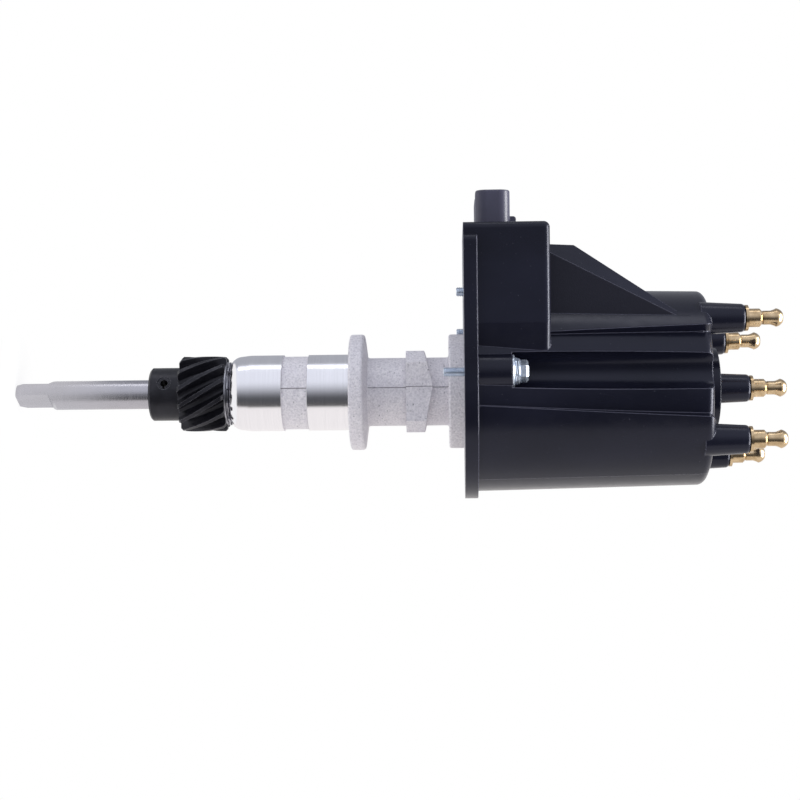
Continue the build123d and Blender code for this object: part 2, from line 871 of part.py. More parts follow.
# Round ways through the roof and the slots in the pillars that the inserts' lugs fill.
with BuildPart() as insert_ways:
    with Locations(Location((0, 0, lug_low))):
        with PolarLocations(tower_circle, tower_count, start_angle=tower_angle):
            Cylinder(
                terminal_stem_radius + insert_gap,
                tower_top - lug_low,
                align=(Align.CENTER, Align.CENTER, Align.MIN),
            )
            with Locations(Location((0, 0, -insert_gap))):
                Box(
                    2 * (tower_circle - lug_tip_circle),
                    lug_width + 2 * insert_gap,
                    lug_height + 2 * insert_gap,
                    align=(Align.MAX, Align.CENTER, Align.MIN),
                )
    with Locations(Location((0, 0, brush_well_low))):
        Cylinder(
            brush_radius + running_gap,
            brush_stop - brush_well_low,
            align=(Align.CENTER, Align.CENTER, Align.MIN),
        )
        Cylinder(
            terminal_stem_radius + insert_gap,
            centre_tower_top - brush_well_low,
            align=(Align.CENTER, Align.CENTER, Align.MIN),
        )
    with Locations(Location((0, 0, plate_low))):
        with PolarLocations(cap_screw_circle, cap_screw_count, start_angle=cap_screw_angle):
            Cylinder(
                cap_screw_radius + screw_clearance,
                screw_boss_top - plate_low,
                align=(Align.CENTER, Align.CENTER, Align.MIN),
            )

# Notches in the box's outer wall, open at its rim, that the connectors stand in.
with BuildPart() as connector_ways:
    for centre_y, width, pin_count in connector_sites:
        notch_top = connector_z + connector_height / 2 + rest_gap
        with BuildSketch(Plane.XY.offset(plate_low)):
            with Locations((-box_reach, centre_y)):
                Rectangle(4 * cap_wall, width + 2 * rest_gap)
        extrude(amount=notch_top - plate_low)

with BuildPart() as distributor_cap:
    # Tapered body with its pads.
    add(cone_body(core_radius_low, core_radius_high, skirt_top, cap_top))
    add(cap_pads.part)
    end_rims = distributor_cap.edges().group_by(Axis.Z)[-1]
    fillet(end_rims, cap_end_round)
    add(module_box.part)
    # Skirt that drops over the base plate.
    with BuildSketch(Plane.XY.offset(plate_low)):
        add(tab_outline(skirt_radius, skirt_reach, skirt_corner))
    extrude(amount=skirt_height)
    add(gusset.part)
    # Screw bosses and the channels that let a driver down to them.
    with Locations(Location((0, 0, skirt_top))):
        with PolarLocations(cap_screw_circle, cap_screw_count, start_angle=cap_screw_angle):
            Cone(
                screw_boss_radius_low,
                screw_boss_radius_high,
                screw_boss_height,
                align=(Align.CENTER, Align.CENTER, Align.MIN),
            )
    with Locations(Location((0, 0, screw_boss_top))):
        with PolarLocations(cap_screw_circle, cap_screw_count, start_angle=cap_screw_angle):
            Cylinder(
                channel_radius,
                cap_top - screw_boss_top + cutter_overrun,
                align=(Align.CENTER, Align.CENTER, Align.MIN),
                mode=Mode.SUBTRACT,
            )
    # Raised centre disc and the towers.
    with BuildSketch(Plane.XY.offset(cap_inner_top)):
        Circle(centre_disc_radius)
    extrude(amount=centre_disc_top - cap_inner_top)
    add(towers.part)
    # Hollow inside.
    add(cap_cavity.part, mode=Mode.SUBTRACT)
    with BuildSketch(Plane.XY.offset(plate_low)):
        add(tab_outline(plate_radius + rest_gap, plate_reach + rest_gap, skirt_corner))
    extrude(amount=gasket_top - plate_low, mode=Mode.SUBTRACT)
    with BuildSketch(Plane.XY.offset(plate_low)):
        with Locations((-(box_inner_end + box_shoulder_x) / 2, 0)):
            Rectangle(box_inner_end - box_shoulder_x, 2 * box_inner_half)
    extrude(amount=gasket_top - plate_low, mode=Mode.SUBTRACT)
    # Ways through for the inserts, the brush, the screws and the connectors.
    add(insert_ways.part, mode=Mode.SUBTRACT)
    add(connector_ways.part, mode=Mode.SUBTRACT)
finish(distributor_cap, "distributor_cap")

# ================================================================ cap gasket
with BuildPart() as cap_gasket:
    with BuildSketch(Plane.XY.offset(plate_top)):
        add(tab_outline(plate_radius, plate_reach, skirt_corner))
        add(
            tab_outline(plate_radius - gasket_width, plate_reach + skirt_radius, skirt_corner),
            mode=Mode.SUBTRACT,
        )
        with PolarLocations(cap_screw_circle, cap_screw_count, start_angle=cap_screw_angle):
            Circle(plate_radius - cap_screw_circle)
            Circle(cap_screw_radius + screw_clearance, mode=Mode.SUBTRACT)
    extrude(amount=gasket_thickness)
finish(cap_gasket, "cap_gasket")

# ================================================================ terminals
# Snap post: flange, barrel, groove, waist, flared bead and hollow tip.


def post_outline(base, foot):
    """Half section of a terminal whose flange sits at base and whose stem ends at foot."""
    barrel_top = base + post_flange_height + post_barrel_height
    groove_top = barrel_top + post_groove_height
    waist_top = groove_top + post_waist_height
    bead_top = waist_top + post_flare_height
    tip_top = bead_top + post_tip_height
    barrel_edge = post_radius - post_groove_radius
    with BuildSketch(Plane.XZ) as outline:
        with BuildLine():
            Polyline(
                (0, foot),
                (terminal_stem_radius, foot),
                (terminal_stem_radius, base),
                (post_flange_radius, base),
                (post_flange_radius, base + post_flange_height),
                (post_radius, base + post_flange_height),
                (post_radius, barrel_top),
                (post_groove_radius, barrel_top + barrel_edge),
                (post_groove_radius, groove_top - post_waist_radius + post_groove_radius),
                (post_waist_radius, groove_top),
                (post_waist_radius, waist_top),
            )
            flare = ThreePointArc(
                (post_waist_radius, waist_top),
                ((post_waist_radius + post_radius) / 2 - post_flare_hollow, (waist_top + bead_top) / 2),
                (post_radius, bead_top),
            )
            nib = ThreePointArc(
                (post_radius, bead_top),
                (
                    (post_radius + post_tip_radius + post_tip_bulge) / 2,
                    (bead_top + tip_top + post_tip_bulge) / 2,
                ),
                (post_tip_radius, tip_top),
            )
            Polyline(
                nib @ 1,
                (post_bore_radius, tip_top),
                (post_bore_radius, tip_top - post_bore_depth),
                (0, tip_top - post_bore_depth),
                (0, foot),
            )
        make_face()
    return outline.sketch


for number in range(tower_count):
    angle = tower_angle + number * 360.0 / tower_count
    foot_centre = (
        tower_circle * plan_direction(angle)[0],
        tower_circle * plan_direction(angle)[1],
        0,
    )
    with BuildPart() as spark_terminal:
        add(post_outline(tower_top, lug_low))
        revolve(axis=Axis.Z)
        with Locations(Location((0, 0, lug_low))):
            Box(
                tower_circle - lug_tip_circle,
                lug_width,
                lug_height,
                align=(Align.MAX, Align.CENTER, Align.MIN),
            )
    spark_terminal.part = spark_terminal.part.moved(Location(foot_centre, (0, 0, angle)))
    finish(spark_terminal, f"spark_terminal_{number + 1}")

with BuildPart() as coil_terminal:
    add(post_outline(centre_tower_top, brush_stop))
    revolve(axis=Axis.Z)
finish(coil_terminal, "coil_terminal")

# ================================================================ carbon brush and spring
with BuildPart() as carbon_brush:
    with BuildSketch(Plane.XZ):
        with BuildLine():
            crown = ThreePointArc(
                (0, brush_low),
                (brush_radius / 2, brush_low + brush_crown_low),
                (brush_radius, brush_low + brush_crown_height),
            )
            Polyline(crown @ 1, (brush_radius, brush_top), (0, brush_top), (0, brush_low))
        make_face()
    revolve(axis=Axis.Z)
finish(carbon_brush, "carbon_brush")

with BuildPart() as brush_spring:
    spring_low = brush_top + spring_wire_radius + press_gap
    spring_high = brush_stop - spring_wire_radius - press_gap
    with BuildLine() as coil_line:
        Helix(
            pitch=spring_pitch,
            height=spring_high - spring_low,
            radius=spring_coil_radius,
            center=(0, 0, spring_low),
        )
    with BuildSketch(Plane(origin=coil_line.line @ 0, z_dir=coil_line.line % 0)):
        Circle(spring_wire_radius)
    sweep(path=coil_line.line, is_frenet=True)
finish(brush_spring, "brush_spring")

# ================================================================ cap screws and washers
with BuildPart() as cap_screw_washers:
    with Locations(Location((0, 0, screw_boss_top))):
        with PolarLocations(cap_screw_circle, cap_screw_count, start_angle=cap_screw_angle):
            Cylinder(
                flat_washer_radius,
                flat_washer_thickness,
                align=(Align.CENTER, Align.CENTER, Align.MIN),
            )
            with Locations(Location((0, 0, flat_washer_thickness))):
                Cylinder(
                    spring_washer_radius,
                    spring_washer_thickness,
                    align=(Align.CENTER, Align.CENTER, Align.MIN),
                )
            Cylinder(
                cap_screw_radius + press_gap,
                flat_washer_thickness + spring_washer_thickness,
                align=(Align.CENTER, Align.CENTER, Align.MIN),
                mode=Mode.SUBTRACT,
            )
finish(cap_screw_washers, "cap_screw_washers")

with BuildPart() as cap_screws:
    head_low = screw_boss_top + flat_washer_thickness + spring_washer_thickness
    screw_tip = plate_low - cap_screw_below_plate
    with Locations(Location((0, 0, screw_tip))):
        with PolarLocations(cap_screw_circle, cap_screw_count, start_angle=cap_screw_angle):
            Cylinder(
                cap_screw_radius,
                head_low - screw_tip,
                align=(Align.CENTER, Align.CENTER, Align.MIN),
            )
    screw_tip_rims = cap_screws.edges().group_by(Axis.Z)[0]
    chamfer(screw_tip_rims, cap_screw_tip_edge)
    with BuildSketch(Plane.XY.offset(head_low)):
        with PolarLocations(cap_screw_circle, cap_screw_count, start_angle=cap_screw_angle):
            Circle(screw_head_radius)
    extrude(amount=screw_head_flange)
    with BuildSketch(Plane.XY.offset(head_low)):
        with PolarLocations(cap_screw_circle, cap_screw_count, start_angle=cap_screw_angle):
            RegularPolygon(screw_head_radius - screw_hex_setback, 6)
    extrude(amount=screw_head_height)
finish(cap_screws, "cap_screws")

# ================================================================ pickup on the housing's hub
pickup_bore = hub_radius + pickup_hub_gap
with BuildPart() as pickup_coil:
    with BuildSketch(Plane.XZ):
        with BuildLine():
            Polyline(
                (pickup_bore, plate_top),
                (pickup_outer_radius, plate_top),
                (pickup_outer_radius, plate_top + bobbin_flange_thickness),
                (pickup_outer_radius - bobbin_groove_depth, plate_top + bobbin_flange_thickness),
                (pickup_outer_radius - bobbin_groove_depth, coil_top - bobbin_flange_thickness),
                (pickup_outer_radius, coil_top - bobbin_flange_thickness),
                (pickup_outer_radius, coil_top),
                (pickup_bore, coil_top),
                close=True,
            )
        make_face()
    revolve(axis=Axis.Z)
finish(pickup_coil, "pickup_coil")

pickup_magnet = ring(pickup_outer_radius, pickup_bore, coil_top, magnet_top)
finish(pickup_magnet, "pickup_magnet")

with BuildPart() as pole_piece:
    with BuildSketch(Plane.XY.offset(magnet_top)):
        Circle(pickup_outer_radius)
        Circle(pickup_bore, mode=Mode.SUBTRACT)
    extrude(amount=pole_plate_thickness)
    with BuildSketch(Plane.XY.offset(pole_plate_top)):
        with PolarLocations(pole_tooth_circle, tower_count, start_angle=tower_angle):
            Rectangle(pole_tooth_thickness, pole_tooth_width)
    extrude(amount=pole_tooth_height)
finish(pole_piece, "pole_piece")

with BuildPart() as pickup_retainer:
    with BuildSketch(Plane.XY.offset(pole_plate_top)):
        Circle(retainer_outer_radius)
        Circle(hub_radius - retainer_groove_depth + press_gap, mode=Mode.SUBTRACT)
        with Locations((retainer_outer_radius, 0)):
            Rectangle(2 * retainer_outer_radius, retainer_mouth, mode=Mode.SUBTRACT)
    extrude(amount=retainer_thickness)
finish(pickup_retainer, "pickup_retainer")

# ================================================================ timer core on the shaft
core_tooth_tip = pole_tooth_circle - pole_tooth_thickness / 2 - air_gap
with BuildPart() as timer_core:
    with BuildSketch(Plane.XY.offset(core_low)):
        Circle(core_hub_radius)
    extrude(amount=core_height)
    with BuildSketch(Plane.XY.offset(core_top - core_disc_thickness)):
        Circle(core_disc_radius)
    extrude(amount=core_disc_thickness)
    with BuildSketch(Plane.XY.offset(core_low)):
        with PolarLocations(core_tooth_tip, tower_count, start_angle=tower_angle):
            Rectangle(
                core_tooth_tip - core_hub_radius + pole_tooth_thickness,
                core_tooth_width,
                align=(Align.MAX, Align.CENTER),
            )
    extrude(amount=core_height)
    with BuildSketch(Plane.XY.offset(core_low)):
        Circle(upper_shaft_radius + press_gap)
    extrude(amount=core_height, mode=Mode.SUBTRACT)
    with BuildSketch(Plane.XY.offset(core_top)):
        with PolarLocations(rotor_screw_circle, 2, start_angle=rotor_screw_angle):
            Circle(rotor_screw_radius + press_gap)
    extrude(amount=-core_disc_thickness, mode=Mode.SUBTRACT)
finish(timer_core, "timer_core")

# ================================================================ rotor
rotor_arm_reach = electrode_tip - rotor_arm_setback
with BuildPart() as rotor_body:
    with BuildSketch(Plane.XY.offset(core_top)):
        Circle(rotor_disc_radius)
    extrude(amount=rotor_disc_thickness)
    rotor_rims = rotor_body.edges().group_by(Axis.Z)[-1]
    fillet(rotor_rims, rotor_disc_round)
    with BuildSketch(Plane.XY.offset(core_top)):
        Circle(rotor_column_radius)
    extrude(amount=rotor_top - core_top)
    # Web under the arm that carries the electrode.
    with BuildSketch(upright_plane(rotor_angle)):
        with BuildLine():
            Polyline(
                (-rotor_tail_reach, rotor_top - rotor_arm_thickness),
                (-rotor_tail_reach, rotor_top),
                (rotor_arm_reach, rotor_top),
                (rotor_arm_reach, rotor_top - rotor_arm_thickness),
                (rotor_column_radius, rotor_disc_top + rotor_arm_thickness),
                (0, rotor_disc_top),
                (-rotor_column_radius, rotor_top - 2 * rotor_arm_thickness),
                close=True,
            )
        make_face()
    extrude(amount=rotor_arm_width / 2, both=True)
    # Socket for the shaft end and holes for the two screws.
    with BuildSketch(Plane.XY.offset(core_top)):
        Circle(upper_shaft_radius + press_gap)
    extrude(amount=rotor_socket_depth + rest_gap, mode=Mode.SUBTRACT)
    with BuildSketch(Plane.XY.offset(core_top)):
        with PolarLocations(rotor_screw_circle, 2, start_angle=rotor_screw_angle):
            Circle(rotor_screw_radius + screw_clearance)
    extrude(amount=rotor_disc_thickness, mode=Mode.SUBTRACT)
finish(rotor_body, "rotor_body")

with BuildPart() as rotor_electrode:
    with BuildSketch(Plane.XY.offset(rotor_top).rotated((0, 0, rotor_angle))):
        with Locations(((electrode_tip - rotor_tail_reach) / 2, 0)):
            Rectangle(electrode_tip + rotor_tail_reach, electrode_width)
    extrude(amount=electrode_thickness)
    electrode_corners = rotor_electrode.edges().filter_by(Axis.Z)
    fillet(electrode_corners, electrode_width / 4)
finish(rotor_electrode, "rotor_electrode")

with BuildPart() as rotor_contact_spring:
    with BuildSketch(Plane.XY.offset(electrode_top).rotated((0, 0, rotor_angle))):
        SlotOverall(contact_leaf_length, contact_leaf_width)
    extrude(amount=contact_leaf_thickness)
finish(rotor_contact_spring, "rotor_contact_spring")

with BuildPart() as rotor_screws:
    with Locations(Location((0, 0, core_top - rotor_screw_bite))):
        with PolarLocations(rotor_screw_circle, 2, start_angle=rotor_screw_angle):
            Cylinder(
                rotor_screw_radius,
                rotor_screw_bite + rotor_disc_thickness,
                align=(Align.CENTER, Align.CENTER, Align.MIN),
            )
    with Locations(Location((0, 0, rotor_disc_top))):
        with PolarLocations(rotor_screw_circle, 2, start_angle=rotor_screw_angle):
            Cylinder(
                rotor_screw_head_radius,
                rotor_screw_head_height,
                align=(Align.CENTER, Align.CENTER, Align.MIN),
            )
finish(rotor_screws, "rotor_screws")

# ================================================================ ignition module


def module_outline():
    """Plan of the module: a block hollowed round the pickup."""
    with BuildSketch() as outline:
        with Locations((-(module_reach + module_inner_x) / 2, 0)):
            Rectangle(module_reach - module_inner_x, 2 * module_half_width)
        fillet(outline.vertices(), module_corner)
        Circle(module_relief_radius, mode=Mode.SUBTRACT)
        with Locations(*module_screw_sites):
            Circle(module_screw_radius + screw_clearance, mode=Mode.SUBTRACT)
    return outline.sketch


with BuildPart() as module_heat_sink:
    with BuildSketch(Plane.XY.offset(plate_top)):
        add(module_outline())
    extrude(amount=heat_sink_thickness)
finish(module_heat_sink, "module_heat_sink")

with BuildPart() as ignition_module:
    with BuildSketch(Plane.XY.offset(plate_top + heat_sink_thickness)):
        add(module_outline())
    extrude(amount=module_height - heat_sink_thickness)
finish(ignition_module, "ignition_module")

with BuildPart() as module_screws:
    with Locations(Location((0, 0, plate_low - module_screw_below_plate))):
        with Locations(*module_screw_sites):
            Cylinder(
                module_screw_radius,
                module_top - plate_low + module_screw_below_plate,
                align=(Align.CENTER, Align.CENTER, Align.MIN),
            )
    with Locations(Location((0, 0, module_top))):
        with Locations(*module_screw_sites):
            Cylinder(
                module_screw_head_radius,
                module_screw_head_height,
                align=(Align.CENTER, Align.CENTER, Align.MIN),
            )
    module_screw_rims = module_screws.edges().group_by(Axis.Z)
    chamfer(module_screw_rims[0], module_screw_tip_edge)
    fillet(module_screw_rims[-1], module_screw_head_round)
finish(module_screws, "module_screws")

# ================================================================ connectors
with BuildPart() as connector_housing:
    # Block that joins both connectors inside the box's end wall.
    with BuildSketch(Plane.XY.offset(plate_top)):
        with Locations((-(block_inner_x + block_outer_x) / 2, 0)):
            Rectangle(block_outer_x - block_inner_x, 2 * module_half_width)
    extrude(amount=connector_block_height)
    for centre_y, width, pin_count in connector_sites:
        # Sill that fills the notch in the wall under the connector.
        with BuildSketch(Plane.XY.offset(plate_low)):
            with Locations((-(block_outer_x + box_reach) / 2, centre_y)):
                Rectangle(box_reach - block_outer_x, width)
        extrude(amount=connector_z - plate_low)
        with BuildSketch(Plane.YZ.offset(-block_outer_x)):
            with Locations((centre_y, connector_z)):
                RectangleRounded(width, connector_height, connector_round)
        extrude(amount=block_outer_x - shroud_reach)
        # Latch nose on the upper face.
        latch_low = connector_z + connector_height / 2 - connector_wall
        with BuildSketch(Plane.XZ.offset(-centre_y)):
            with BuildLine():
                Polyline(
                    (-box_reach - rest_gap, latch_low),
                    (-box_reach - latch_length, latch_low),
                    (-box_reach - latch_length, latch_low + connector_wall + latch_height),
                    (-box_reach - rest_gap, latch_low + connector_wall + latch_height),
                    close=True,
                )
            latch = make_face()
            fillet(latch.vertices().sort_by(Axis.Z)[-2:], latch_round)
        extrude(amount=latch_width / 2, both=True)
    mouth_rims = connector_housing.edges().group_by(Axis.X)[0]
    fillet(mouth_rims, shroud_edge)
    for centre_y, width, pin_count in connector_sites:
        with BuildSketch(Plane.YZ.offset(-shroud_reach)):
            with Locations((centre_y, connector_z)):
                RectangleRounded(
                    width - 2 * connector_wall,
                    connector_height - 2 * connector_wall,
                    connector_round - connector_wall,
                )
        extrude(amount=connector_depth, mode=Mode.SUBTRACT)
        with BuildSketch(Plane.YZ.offset(-block_inner_x)):
            with Locations((centre_y, connector_z)):
                with GridLocations(pin_pitch, 1, pin_count, 1):
                    Rectangle(pin_blade_width, pin_blade_thickness)
        extrude(amount=-shroud_reach, mode=Mode.SUBTRACT)
finish(connector_housing, "connector_housing")

with BuildPart() as connector_pins:
    for centre_y, width, pin_count in connector_sites:
        with BuildSketch(Plane.YZ.offset(-block_inner_x)):
            with Locations((centre_y, connector_z)):
                with GridLocations(pin_pitch, 1, pin_count, 1):
                    Rectangle(pin_blade_width - insert_gap, pin_blade_thickness - insert_gap)
        extrude(amount=block_inner_x - shroud_reach + pin_recess)
finish(connector_pins, "connector_pins")
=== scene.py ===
import json
import math
import bmesh
import bpy
from mathutils import Matrix, Vector


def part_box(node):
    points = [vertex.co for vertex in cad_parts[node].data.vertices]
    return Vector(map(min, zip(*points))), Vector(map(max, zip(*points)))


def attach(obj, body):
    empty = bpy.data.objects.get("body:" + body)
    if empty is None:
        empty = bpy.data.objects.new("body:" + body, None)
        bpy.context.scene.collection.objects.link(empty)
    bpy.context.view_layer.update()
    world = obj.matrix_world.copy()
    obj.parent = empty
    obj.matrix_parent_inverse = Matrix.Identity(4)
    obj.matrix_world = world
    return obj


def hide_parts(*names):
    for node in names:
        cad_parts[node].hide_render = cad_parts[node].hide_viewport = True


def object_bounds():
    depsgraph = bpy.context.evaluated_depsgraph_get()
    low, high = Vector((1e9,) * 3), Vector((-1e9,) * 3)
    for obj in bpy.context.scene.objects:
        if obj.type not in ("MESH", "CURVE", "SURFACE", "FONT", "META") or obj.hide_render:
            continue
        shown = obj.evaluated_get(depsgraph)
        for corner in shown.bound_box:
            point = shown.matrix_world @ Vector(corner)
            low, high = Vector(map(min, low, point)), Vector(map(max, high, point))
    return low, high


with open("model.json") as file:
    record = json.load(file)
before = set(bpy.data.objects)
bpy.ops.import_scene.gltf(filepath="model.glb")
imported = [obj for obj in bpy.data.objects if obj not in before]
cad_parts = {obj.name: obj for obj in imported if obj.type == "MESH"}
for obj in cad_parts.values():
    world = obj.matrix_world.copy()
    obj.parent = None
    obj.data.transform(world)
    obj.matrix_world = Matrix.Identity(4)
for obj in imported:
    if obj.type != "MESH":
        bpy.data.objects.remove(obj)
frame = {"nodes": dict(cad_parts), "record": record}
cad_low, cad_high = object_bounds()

# Ignition distributor. The shaft axis is Z, the cap is up, the module box is towards -X.
# Blender works in metres; MM turns the drawing's millimetres into metres.
MM = 0.001

# ------------------------------------------------------------------ camera
LENS = 72.0                        # millimetres, as the sensor's width
SENSOR = 36.0
CAMERA_DISTANCE = 688 * MM         # from the shaft axis
CAMERA_HEIGHT = 44.7 * MM          # along the shaft
AIM_HEIGHT = 21.0 * MM             # point of the shaft in the middle of the picture
AIM_SIDE = 3.5 * MM
CAMERA_ROLL = math.radians(0.62)

# ------------------------------------------------------------------ levels and places on the part
LOW_MACHINED = (-51.8 * MM, -28.8 * MM)    # nose and lower pilot
CAST_BAND = (-28.7 * MM, -17.9 * MM)
HIGH_MACHINED = (-17.8 * MM, 0.1 * MM)     # upper pilot, up to the flange seat
NECK = (8 * MM, 42 * MM)
SEAM_BEARING = (math.radians(6.8), math.radians(7.4))
GUSSET_WALL = (-29.45 * MM, -29.05 * MM)   # the gusset's near wall, along Y
GUSSET_LEVELS = (83.9 * MM, 141 * MM)      # from the box's top to the end of the slope
GUSSET_ROOT = (-27.5 * MM, -27.0 * MM)     # where the gusset meets the cap's wall, along X
TOWER_FOOT = (150.0 * MM, 151.0 * MM)

# ------------------------------------------------------------------ lighting
STUDIO_LEVEL = 0.95
ROOM_LEVEL = 0.10                  # share of it that comes from behind the camera
BEHIND_LEVEL = 0.5                 # share of it that comes from behind the module box
CAP_END_LEVEL = 0.95               # share of it that comes from beyond the towers
FRONT_FILL = 0.86                  # soft light from the camera's side on matt surfaces
COOL_LIGHT = (0.88, 0.91, 1.0)
WARM_LIGHT = (1.0, 0.97, 0.96)
FLOOR_RADIUS = 0.16
FLOOR_GAP = 0.2 * MM

NOISE_LOW = 0.3                    # nearly all of a noise's values lie between these two
NOISE_HIGH = 0.7


# ------------------------------------------------------------------ node trees
def with_alpha(colour):
    """A node socket as it is, or a plain colour made opaque."""
    return colour if isinstance(colour, bpy.types.NodeSocket) else (*colour, 1)


class Nodes:
    """Short forms for building a node tree."""

    def __init__(self, tree):
        self.tree = tree

    def node(self, kind, **settings):
        made = self.tree.nodes.new(kind)
        for key, value in settings.items():
            setattr(made, key, value)
        return made

    def feed(self, socket, value):
        """Links another node's socket, or sets a constant on the socket itself."""
        if isinstance(value, bpy.types.NodeSocket):
            self.tree.links.new(value, socket)
        else:
            socket.default_value = value

    def math(self, operation, first, second=0.0):
        made = self.node("ShaderNodeMath", operation=operation)
        self.feed(made.inputs[0], first)
        self.feed(made.inputs[1], second)
        return made.outputs[0]

    def product(self, first, *others):
        for other in others:
            first = self.math("MULTIPLY", first, other)
        return first

    def ramp(self, value, low, high, start=0.0, end=1.0, interpolation="LINEAR"):
        made = self.node("ShaderNodeMapRange", clamp=True, interpolation_type=interpolation)
        for socket, number in zip(made.inputs[:5], (value, low, high, start, end)):
            self.feed(socket, number)
        return made.outputs[0]

    def window(self, value, limits, soft):
        """One between two limits and zero outside them."""
        low, high = limits
        rise = self.ramp(value, low - soft, low)
        fall = self.ramp(value, high, high + soft, 1.0, 0.0)
        return self.product(rise, fall)

    def mix(self, factor, first, second):
        made = self.node("ShaderNodeMix", data_type="RGBA")
        self.feed(made.inputs["Factor"], factor)
        self.feed(made.inputs[6], with_alpha(first))
        self.feed(made.inputs[7], with_alpha(second))
        return made.outputs[2]


class Finish(Nodes):
    """A material: patterns in object space feed one Principled shader."""

    def __init__(self, name, roughness, metallic=0.0, specular=0.5):
        self.material = bpy.data.materials.new(name)
        self.material.use_nodes = True
        super().__init__(self.material.node_tree)
        self.shader = self.tree.nodes["Principled BSDF"]
        self.shader.inputs["Roughness"].default_value = roughness
        self.shader.inputs["Metallic"].default_value = metallic
        self.shader.inputs["Specular IOR Level"].default_value = specular
        self.place = self.node("ShaderNodeTexCoord").outputs["Object"]
        self.normal = None

    def axis(self, letter):
        made = self.node("ShaderNodeSeparateXYZ")
        self.feed(made.inputs[0], self.place)
        return made.outputs[letter]

    def radius(self):
        """Distance from the shaft axis."""
        across = self.product(self.axis("X"), self.axis("X"))
        along = self.product(self.axis("Y"), self.axis("Y"))
        return self.math("SQRT", self.math("ADD", across, along))

    def bearing(self):
        """Angle round the shaft, zero on the camera's side."""
        return self.math("ARCTAN2", self.product(self.axis("X"), -1.0), self.product(self.axis("Y"), -1.0))

    def noise(self, size, detail=3.0, stretch=(1, 1, 1), shift=0.0, sharpness=0.5):
        """Noise whose features are about size metres across."""
        mapping = self.node("ShaderNodeMapping")
        self.feed(mapping.inputs["Vector"], self.place)
        mapping.inputs["Scale"].default_value = stretch
        mapping.inputs["Location"].default_value = (shift, shift, shift)
        made = self.node("ShaderNodeTexNoise")
        self.feed(made.inputs["Vector"], mapping.outputs[0])
        made.inputs["Scale"].default_value = 1.0 / size
        made.inputs["Detail"].default_value = detail
        made.inputs["Roughness"].default_value = sharpness
        return made.outputs["Fac"]

    def rings(self, size):
        """Fine rings round the shaft, as a lathe tool leaves them."""
        return self.noise(size, detail=2.0, stretch=(0.01, 0.01, 1.0))

    def spread(self, noise, start=0.0, end=1.0):
        """A noise stretched so that nearly all of it runs from start to end."""
        return self.ramp(noise, NOISE_LOW, NOISE_HIGH, start, end)

    def colour(self, value):
        self.feed(self.shader.inputs["Base Color"], with_alpha(value))

    def roughness(self, value):
        self.feed(self.shader.inputs["Roughness"], value)

    def metallic(self, value):
        self.feed(self.shader.inputs["Metallic"], value)

    def soften(self, width):
        """Rounds sharp edges in the shading by a small radius."""
        made = self.node("ShaderNodeBevel", samples=4)
        made.inputs["Radius"].default_value = width
        self.normal = made.outputs[0]
        self.feed(self.shader.inputs["Normal"], self.normal)

    def edges(self, width, low, high):
        """One on sharp edges and zero on open faces, over about width metres."""
        rounded = self.node("ShaderNodeBevel", samples=6)
        rounded.inputs["Radius"].default_value = width
        facing = self.node("ShaderNodeVectorMath", operation="DOT_PRODUCT")
        self.feed(facing.inputs[0], rounded.outputs[0])
        self.feed(facing.inputs[1], self.node("ShaderNodeNewGeometry").outputs["Normal"])
        return self.ramp(facing.outputs["Value"], 1.0 - high, 1.0 - low, 1.0, 0.0)

    def bump(self, height, depth):
        """Relief, on top of any softened edges or earlier relief."""
        made = self.node("ShaderNodeBump")
        made.inputs["Distance"].default_value = depth
        self.feed(made.inputs["Height"], height)
        if self.normal is not None:
            self.feed(made.inputs["Normal"], self.normal)
        self.normal = made.outputs[0]
        self.feed(self.shader.inputs["Normal"], self.normal)


# ------------------------------------------------------------------ materials
def die_seam(made, level, cloud):
    """Faint, broken line where the two halves of the die met, on the cast stretches only."""
    neck = made.window(level, NECK, soft=0.2 * MM)
    band = made.window(level, CAST_BAND, soft=0.05 * MM)
    line = made.window(made.bearing(), SEAM_BEARING, soft=math.radians(0.35))
    broken = made.ramp(cloud, 0.25, 0.55, 0.55, 1.0)
    return made.product(line, broken, made.math("MAXIMUM", neck, band), 0.9)


def cast_and_machined():
    """Fine-grained die casting; the pilots and the nose are turned bright."""
    made = Finish("cast_aluminium", 0.5)
    level = made.axis("Z")
    machined = made.math(
        "MAXIMUM",
        made.window(level, LOW_MACHINED, soft=0.05 * MM),
        made.window(level, HIGH_MACHINED, soft=0.05 * MM),
    )
    as_cast = made.ramp(machined, 0, 1, 1, 0)
    grain = made.noise(0.8 * MM, detail=4.0, sharpness=0.65)
    lumps = made.noise(1.6 * MM, detail=2.0, shift=3.0)
    pits = made.ramp(made.noise(1.1 * MM, detail=2.0, shift=11.0), 0.24, 0.34)
    cloud = made.noise(11 * MM, shift=7.0)
    rings = made.rings(0.22 * MM)

    cast = made.mix(made.spread(cloud), (0.79, 0.765, 0.81), (0.87, 0.845, 0.87))
    cast = made.mix(made.ramp(grain, 0.30, 0.62), (0.56, 0.54, 0.59), cast)
    cast = made.mix(pits, (0.24, 0.235, 0.27), cast)
    cast = made.mix(die_seam(made, level, cloud), cast, (0.08, 0.075, 0.10))
    bright = made.mix(made.spread(rings), (0.86, 0.85, 0.88), (0.92, 0.91, 0.94))
    made.colour(made.mix(machined, cast, bright))
    made.metallic(made.ramp(machined, 0, 1, 0.35, 1.0))

    cast_roughness = made.product(made.spread(grain, 0.46, 0.60), as_cast)
    bright_roughness = made.product(made.spread(rings, 0.13, 0.20), machined)
    made.roughness(made.math("ADD", cast_roughness, bright_roughness))

    made.soften(0.35 * MM)
    texture = made.math("ADD", grain, made.product(lumps, 0.6))
    cast_height = made.product(texture, as_cast)
    ring_height = made.product(rings, made.ramp(machined, 0, 1, 0, 0.016))
    made.bump(made.math("ADD", cast_height, ring_height), depth=0.42 * MM)
    return made.material


